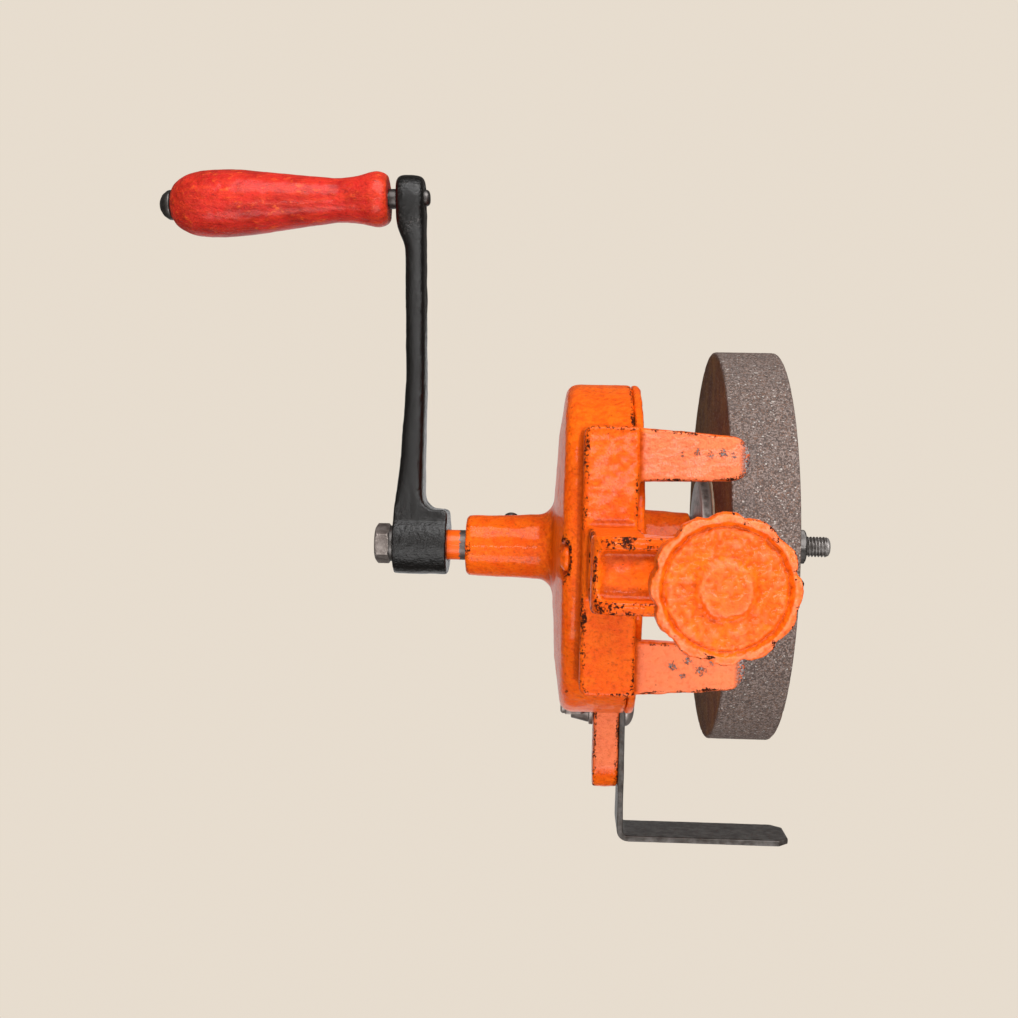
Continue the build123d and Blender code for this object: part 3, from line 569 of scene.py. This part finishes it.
def metal(name, light, dark, roughness=0.35, scratch=0.4, rust=0.0, metallic=0.9, along=(1.0, 1.0, 1.0)):
    """Worn bare or plated steel: cloudy colour, fine scratches, bright edges and specks of rust."""
    look = Look(name)
    cloud = look.noise(3.0, 5.0, 0.6)
    tone = look.mix(look.ramp(cloud, 0.3, 0.7), dark, light)
    edge = look.attribute("edge")
    tone = look.mix(look.ramp(edge, 0.05, 0.3), tone, tuple(min(1.0, 1.35 * c) for c in light))
    lines = look.noise(0.5, 3.0, 0.7, vector=look.stretched(*along))
    specks = look.ramp(look.noise(0.9, 5.0, 0.75), 0.72 - 0.28 * rust, 0.78 - 0.28 * rust)
    tone = look.mix(specks, tone, (0.11, 0.045, 0.02))
    rough = look.blend(lines, roughness - 0.08, roughness + 0.14)
    rough = look.blend(specks, rough, 0.8)
    height = look.math("ADD", look.math("MULTIPLY", lines, scratch), look.math("MULTIPLY", cloud, 0.4))
    return look.finish(Base_Color=tone, Roughness=rough, Metallic=look.blend(specks, metallic, 0.1),
                       Normal=look.bump(height, 0.08, 0.6))


def plain(name, light, dark, size, roughness, height=0.1, metallic=0.0):
    """A dull even material with soft variation."""
    look = Look(name)
    cloud = look.noise(size, 4.0)
    tone = look.mix(look.ramp(cloud, 0.3, 0.7), dark, light)
    fine = look.noise(size / 5, 3.0)
    return look.finish(Base_Color=tone, Roughness=look.blend(fine, roughness - 0.08, roughness + 0.08),
                       Metallic=metallic, Normal=look.bump(fine, height, 0.6))


ORANGE = (0.96, 0.14, 0.003)
RED_ORANGE = (0.9, 0.1, 0.002)
RUSTY = (0.06, 0.016, 0.008)
# Pale pink: faded paint, and also a painted sheen where light falls on the paint.
FADED_AND_SHEEN = (1.0, 0.27, 0.13)
orange = enamel("orange_enamel", ORANGE, RED_ORANGE, FADED_AND_SHEEN, RUSTY)
shaft_paint = painted_shaft("painted_shaft")
black = black_enamel("black_enamel")
red_wood = lacquered_wood("red_wood")
grit = abrasive("abrasive")
zinc = metal("zinc", (0.3, 0.26, 0.24), (0.13, 0.105, 0.095), 0.42, rust=0.3, metallic=0.7)
dark_steel = metal("dark_steel", (0.13, 0.12, 0.115), (0.05, 0.045, 0.043), 0.4, rust=0.2)
turned_steel = metal("turned_steel", (0.42, 0.4, 0.38), (0.2, 0.185, 0.175), 0.3, rust=0.1,
                     along=(6.0, 1.0, 1.0))
gear_iron = metal("gear_iron", (0.2, 0.19, 0.185), (0.09, 0.085, 0.08), 0.3, rust=0.0)
bronze = metal("bronze", (0.5, 0.3, 0.12), (0.3, 0.17, 0.06), 0.35, rust=0.0)
flange_zinc = metal("flange_zinc", (0.26, 0.23, 0.215), (0.07, 0.055, 0.047), 0.45, rust=0.4, metallic=0.6)
strap_steel = metal("strap_steel", (0.1, 0.09, 0.084), (0.02, 0.014, 0.01), 0.42, rust=0.45, metallic=0.4)
thread_steel = metal("thread_steel", (0.36, 0.34, 0.33), (0.13, 0.115, 0.105), 0.36, rust=0.25, metallic=0.75)
paper = plain("paper", (0.5, 0.42, 0.3), (0.36, 0.28, 0.19), 3.0, 0.85)
soft_metal = plain("lead", (0.3, 0.3, 0.31), (0.18, 0.18, 0.19), 4.0, 0.5, metallic=0.7)

SLOT_LOOK = {
    "orange_enamel": orange, "black_enamel": black, "red_wood": red_wood, "abrasive": grit, "zinc": zinc,
    "dark_steel": dark_steel, "turned_steel": turned_steel, "gear_iron": gear_iron, "bronze": bronze,
    "paper": paper, "lead": soft_metal,
}
for node, part in frame["nodes"].items():
    part.data.materials.clear()
    part.data.materials.append(SLOT_LOOK[slot_of[node]])


# --- castings and forgings ----------------------------------------------------------------------
CAST_LUMPS = ((7.0, 0.14), (2.6, 0.09), (1.2, 0.04))


def falloff(value, full, none):
    """1 at full and beyond, 0 at none, straight between."""
    return np.clip((value - none) / (full - none), 0, 1)


# Both settings of the housing's mesh measure its edges over about the same distance.
voxel, reach = ((0.84, 17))
housing = cast("housing", orange, voxel, 4, CAST_LUMPS, reach=reach)
place = read_points(housing.data)
down = falloff(-read_normals(housing.data)[:, 2], 0.9, 0.6)
finger_y = np.abs(place[:, 1])
on_finger = falloff(finger_y, 26, 24) * falloff(-place[:, 0], 2.5, 0) * falloff(-place[:, 2], -1.5, -3)
on_lug = falloff(-place[:, 1], 62, 60) * falloff(place[:, 1], -86, -88) * falloff(place[:, 2], 70, 60)
# The down faces of the fingers and the lug are marked pale: partly paint worn where they rest and rub, partly a
# painted sheen.
mark(housing.data, "rub_and_sheen", down * np.maximum(on_finger, on_lug))
bruises = ((-13.5, 34.5, 0.9), (-18.2, 35.1, 1.3), (-22.4, 34.2, 1.2), (-26.3, 34.9, 1.5),
           (-29.8, 34.4, 1.0), (-12.0, -33.0, 1.6), (-15.4, -36.0, 1.2), (-16.8, -31.2, 1.5),
           (-21.0, -34.0, 1.8), (-24.2, -31.5, 1.1))
dented = np.zeros(len(place))
for bruise_x, bruise_y, size in bruises:
    away = np.hypot(place[:, 0] - bruise_x, place[:, 1] - bruise_y)
    dented = np.maximum(dented, falloff(-away, -0.5 * size, -1.9 * size))
mark(housing.data, "dented", down * dented)
mark(housing.data, "bared", on_finger * falloff(-place[:, 0], 33.4, 31.4) * falloff(-place[:, 2], -1.0, -6.0))

cast("cover", orange, 0.62, 3, CAST_LUMPS, reach=10)
low, high = low_high("knob")
radius_of_knob = (high[0] - low[0]) / 2
knob = cast("knob", orange, 0.36, 4, ((5.0, 0.2), (2.2, 0.22), (1.0, 0.2)), reach=24)
place = read_points(knob.data) - centre("knob")
down = falloff(-read_normals(knob.data)[:, 2], 0.95, 0.7)
proud = read_mark(knob.data, "edge") - read_mark(knob.data, "hollow")
# The knob's outer face is marked pale, most of all on its crests: a painted highlight and sheen.
mark(knob.data, "rub_and_sheen", down * (0.1 + 2.4 * proud + 0.2 * noise(place, 4.0, 5)))
rim = falloff(np.hypot(place[:, 0], place[:, 1]), radius_of_knob - 0.6, radius_of_knob - 3.2)
mark(knob.data, "knocked", rim * falloff(-place[:, 0] - 0.3 * place[:, 1], 9, -5))
cast("cover_screws", orange, 0.28, 2, ((1.5, 0.05),))
hub_y = centre("crank_bolt")[1]
arm = cast("crank_arm", black, 0.5, 6, ((6.0, 0.14), (1.8, 0.06)),
           soft_at=lambda points: falloff(points[:, 1] - hub_y, 24, 15))
place = read_points(arm.data)
on_eye = falloff(place[:, 1] - hub_y, 108, 104)
on_hub = falloff(hub_y - place[:, 1], -10, -14)
# The faces of the arm's eye and hub toward the lights are marked grey: partly scuffs, partly a painted sheen, most
# of it on the hub.
mark(arm.data, "rub_and_sheen", falloff(-read_normals(arm.data)[:, 2], 0.9, 0.5) * np.maximum(on_eye, 0.6 * on_hub))
cast("wing_nut", zinc, 0.25, 3, ((2.0, 0.05),))
cast("clamp_pad", dark_steel, 0.35, 3, ((2.5, 0.05),))
cast("oil_cup", dark_steel, 0.2, 3)
cast("tool_rest", strap_steel, 0.4, 2, ((9.0, 0.08), (1.5, 0.03)), reach=5)
cast("handle", red_wood, 0.5, 1, ((6.0, 0.12), (1.6, 0.07)))


# --- turned and threaded pieces -----------------------------------------------------------------
def bounds_x(node):
    low, high = low_high(node)
    return low[0], high[0]


def radius_of(node):
    low, high = low_high(node)
    return (high[2] - low[2]) / 2


def ring(name, node, inner, material, soft=0.3, clear=0.0, **options):
    """A flat washer with softened edges, its lower face raised by clear."""
    x0, x1 = bounds_x(node)
    x0 += clear
    outer = radius_of(node)
    path = softened([(x0, inner), (x0, outer), (x1, outer), (x1, inner)], soft, closed=True)
    return turned(name, node, path, material, closed=True, **options)


# The grinding wheel, with small bites out of both rims.
x0, x1 = bounds_x("grinding_wheel")
wheel_r = radius_of("grinding_wheel")
bore = radius_of("wheel_bush")
path = softened([(x0, bore), (x0, wheel_r), (x1, wheel_r), (x1, bore)], 1.0, closed=True)


def bitten(along, radius, angle):
    spot = np.stack([along, radius * np.cos(angle), radius * np.sin(angle)], axis=-1).reshape(-1, 3)
    bites = np.clip(noise(spot, 2.2, 3) - 0.35, 0, 1).reshape(radius.shape)
    grain = np.abs(noise(spot, 0.8, 4)).reshape(radius.shape)
    outer = radius > wheel_r - 3
    near_rim = np.minimum(np.abs(along - x0), np.abs(along - x1)) < 1.4
    return radius - outer * (0.16 * grain + 1.1 * bites * near_rim)


wheel = turned("wheel_grit", "grinding_wheel", path, grit, closed=True, step=0.9, segments=360, shape=bitten)
place = read_points(wheel.data) - centre_line("grinding_wheel")
distance = np.hypot(place[:, 1], place[:, 2])
# The wheel's sides, away from the rim, are marked brown: partly an oil stain, partly painted shade and painted
# orange bounce light.
mark(wheel.data, "oil", falloff(-distance, -(wheel_r - 1.6), -(wheel_r - 0.4)))

x0, x1 = bounds_x("inner_flange")
flange_r = radius_of("inner_flange")
path = [(x0, 6.0), (x0, flange_r), (x0 + 4.0, flange_r), (x0 + 5.4, 11.0), (x1, 11.0), (x1, 6.0)]
path = softened(path, 0.7, closed=True)
turned("inner_flange_turned", "inner_flange", path, flange_zinc, closed=True, step=1.0, segments=160)
x0, x1 = bounds_x("outer_flange")
path = [(x1, 4.1), (x1, flange_r), (x1 - 4.0, flange_r), (x0, 11.0), (x0, 4.1)]
path = softened(path, 0.7, closed=True)
turned("outer_flange_turned", "outer_flange", path, flange_zinc, closed=True, step=1.0, segments=160)
ring("wheel_washer_turned", "wheel_washer", 4.2, zinc)
ring("crank_washer_turned", "crank_washer", 2.6, dark_steel)
ring("rest_washer_turned", "rest_washer", 3.1, zinc, clear=0.25)


def round_hexagon(across_flats, turn=0.0):
    """Like a hexagon, with its six corners a little worn."""
    def cut(along, radius, angle):
        off = (angle - turn + pi / 6) % (pi / 3) - pi / 6
        flat = across_flats / 2 / np.cos(off)
        small = radius < across_flats / 2 - 1
        return np.where(small, radius, (np.maximum(radius, 0.01) ** -60 + flat ** -60) ** (-1 / 60))
    return cut


# The bolt in the crank's hub and the nut on the wheel.
HEX_ACROSS_FLATS = 13.0
x0, x1 = bounds_x("crank_bolt")
head = x1 - 5.2
path = [(x0, 0), (x0, 2.5), (head, 2.5), (head, 6.9), (head + 0.4, 7.5)]
path += [(x1 - 0.9, 7.5), (x1, 6.0), (x1 - 0.15, 4.0), (x1 - 0.1, 0)]
turned("crank_bolt_forged", "crank_bolt", path, zinc, segments=144, step=0.5,
       shape=round_hexagon(HEX_ACROSS_FLATS, pi / 6))
x0, x1 = bounds_x("wheel_nut")
path = [(x0, 3.6), (x0, 6.0), (x0 + 0.9, 7.5), (x1 - 0.4, 7.5), (x1, 6.9), (x1, 3.6)]
turned("wheel_nut_forged", "wheel_nut", path, dark_steel, closed=True, segments=144, step=0.5,
       shape=round_hexagon(HEX_ACROSS_FLATS))

# The spindle, with its thread from the wheel to the rounded end.
x0, x1 = bounds_x("spindle")
path = [(x0, 0), (x0, 2.6), (x0 + 0.5, 3.5), (x0 + 1.3, 4.0)]
path += [(x, 4.0) for x in np.arange(x0 + 1.4, -57, 0.13)]
path += [(-56.0, 4.0), (-56.0, 6.0), (2.1, 6.0), (2.1, 4.0), (x1, 4.0), (x1, 0)]
turned("spindle_turned", "spindle", path, thread_steel, segments=72,
       shape=thread(x0 + 0.6, -57.0, 1.25, 0.75), sharp=60)

# The crank shaft, painted where it shows between the boss and the hub.
x0, x1 = bounds_x("crank_shaft")
path = [(x0, 0), (x0, 5.2), (x0 + 0.4, 5.5), (67.2, 5.5), (67.2, 3.9), (x1, 3.9), (x1, 0)]
turned("crank_shaft_turned", "crank_shaft", path, shaft_paint, step=1.0, segments=72)

# The clamp screw: ball, neck and thread.
screw_x, screw_y = centre("clamp_screw")[:2]
low, high = low_high("clamp_screw")
ball = high[2] - 4.2
path = [(ball + 4.05 * cos(t), 4.05 * sin(t)) for t in np.linspace(0, 0.78 * pi, 12)]
path += [(ball - 5.4, 2.6), (ball - 5.6, 4.4), (ball - 6.2, 5.0)]
path += [(z, 5.0) for z in np.arange(ball - 6.4, low[2], -0.15)] + [(low[2], 5.0), (low[2], 0)]
turned("clamp_screw_turned", "clamp_screw", path, thread_steel, Z_FRAME, (screw_x, screw_y, 0), segments=72,
       shape=thread(low[2], ball - 6.0, 1.5, 0.85), sharp=60)

# The tool rest's bolt, with a domed head, a square neck and a thread.
x0, x1 = bounds_x("rest_bolt")
head = x0 + 4.0
path = [(x0 + 4.0 * (1 - cos(t)) * 0.9, 7.4 * sin(t)) for t in np.linspace(0, pi / 2, 9)]
path += [(head, 7.2), (head, 4.0), (0.3, 4.0), (0.4, 4.2), (5.4, 4.2), (5.5, 3.0)]
path += [(x, 3.0) for x in np.arange(5.6, x1 - 0.8, 0.12)] + [(x1 - 0.7, 3.0), (x1, 2.2), (x1, 0)]
cut_thread = thread(7.0, x1, 1.0, 0.55)


def neck_and_thread(along, radius, angle):
    off = (angle + pi / 4) % (pi / 2) - pi / 4
    square = (along > 0.35) & (along < 5.45) & (radius > 3.5)
    return np.where(square, np.minimum(radius, 3.0 / np.cos(off)), cut_thread(along, radius, angle))


turned("rest_bolt_forged", "rest_bolt", path, zinc, segments=96, shape=neck_and_thread, sharp=50)

# The handle's rod: riveted inner end, shank, and the domed head that holds the handle.
handle_joint = joint("handle_spin")
rod_axis = Vector(handle_joint["axis"])
rod_side = Vector((0, 0, 1)).cross(rod_axis)
rod_frame = (rod_axis, rod_side, Vector((0, 0, 1)))
rod_from = np.array(handle_joint["pos_m"]) / MM
rod_points = (read_points(frame["nodes"]["handle_rod"].data) - rod_from) @ np.array(rod_axis)
a, b = rod_points.min(), rod_points.max()
path = [(a, 0), (a, 1.7), (a + 0.4, 2.6), (a + 1.2, 3.0), (b - 4.9, 3.0), (b - 4.9, 5.2)]
path += [(b - 4.4, 5.5), (b - 3.4, 5.3), (b - 1.6, 4.0), (b - 0.5, 2.2), (b, 0)]
turned("handle_rod_turned", "handle_rod", softened(path, 0.4), dark_steel, rod_frame, rod_from,
       segments=72, step=1.0)

# Paper discs between the flanges and the wheel, a little ragged at the rim.
blotters = []
for x, step_x in ((-32.8, 0.6), (-56.0, -0.6)):
    path = [(x, 6.1), (x, 27.4), (x + step_x, 27.4), (x + step_x, 6.1)]
    ragged = turned_mesh(path, centre_line("wheel_blotters"), segments=180, closed=True,
                         shape=lambda s, r, t: r - (r > 20) * 0.35 * np.abs(np.sin(7 * t) * np.sin(23 * t)))
    blotters.append(ragged)
join("blotters_cut", blotters, "wheel_blotters", paper)


# --- camera, light and stage --------------------------------------------------------------------
def look_at(thing, place, target):
    thing.location = place
    thing.rotation_euler = (Vector(target) - Vector(place)).to_track_quat("-Z", "Y").to_euler()


# The camera looks up at the grinder from below, along the clamp screw.
CAMERA_PLACE = (0.02334, 0.03158, -0.40903)
CAMERA_TURN = (177.868, -2.521, 178.842)
CAMERA_LENS = 45.48

camera_data = bpy.data.cameras.new("camera")
camera_data.sensor_width = 36
camera_data.lens = CAMERA_LENS
camera_data.clip_start = 0.01
camera = bpy.data.objects.new("camera", camera_data)
scene.collection.objects.link(camera)
camera.location = CAMERA_PLACE
camera.rotation_euler = Euler([radians(turn) for turn in CAMERA_TURN])
scene.camera = camera


def softbox(name, place, target, size, power, colour=(1, 1, 1)):
    data = bpy.data.lights.new(name, "AREA")
    data.shape = "RECTANGLE"
    data.size, data.size_y = size
    data.energy = power
    data.color = colour
    lamp = bpy.data.objects.new(name, data)
    scene.collection.objects.link(lamp)
    look_at(lamp, place, target)


middle = (0.02, 0.0, 0.03)
softbox("window", (-0.10, 0.50, -0.34), middle, (0.75, 0.5), 6.0)
softbox("front_fill", (0.0, -0.27, -0.72), middle, (1.0, 0.6), 0.8)
softbox("low_fill", (0.02, -0.46, -0.42), middle, (0.7, 0.3), 2.5)
softbox("near_strip", (-0.06, 0.03, -0.46), (0.0, 0.02, 0.03), (0.03, 0.5), 0.45)
softbox("top_fill", (0.1, -0.25, 0.95), middle, (0.9, 0.9), 2.0)

world = bpy.data.worlds.new("world")
scene.world = world
world.use_nodes = True
sky = world.node_tree.nodes["Background"]
ambient = world.node_tree.nodes.new("ShaderNodeMix")
ambient.data_type = "RGBA"
seen = world.node_tree.nodes.new("ShaderNodeLightPath")
world.node_tree.links.new(seen.outputs["Is Camera Ray"], ambient.inputs[0])
ambient.inputs[6].default_value = (0.13, 0.12, 0.11, 1)
ambient.inputs[7].default_value = (0.80, 0.72, 0.62, 1)
world.node_tree.links.new(ambient.outputs[2], sky.inputs["Color"])

# A pale floor that glows a little, so that it stays pale under lights that are set for the object.
FLOOR_HALF = 2.0
FLOOR_Z = -0.8
FLOOR_COLOUR = (0.8, 0.77, 0.73, 1)

floor_mesh = bpy.data.meshes.new("floor")
corners = [(x * FLOOR_HALF, y * FLOOR_HALF, FLOOR_Z) for x, y in ((-1, -1), (1, -1), (1, 1), (-1, 1))]
floor_mesh.from_pydata(corners, [], [(0, 1, 2, 3)])
floor = bpy.data.objects.new("floor", floor_mesh)
scene.collection.objects.link(floor)
floor_look = bpy.data.materials.new("floor")
floor_look.use_nodes = True
floor_shader = floor_look.node_tree.nodes["Principled BSDF"]
floor_shader.inputs["Base Color"].default_value = FLOOR_COLOUR
floor_shader.inputs["Emission Color"].default_value = FLOOR_COLOUR
floor_shader.inputs["Emission Strength"].default_value = 0.3
floor_mesh.materials.append(floor_look)

scene.view_settings.view_transform = "Standard"
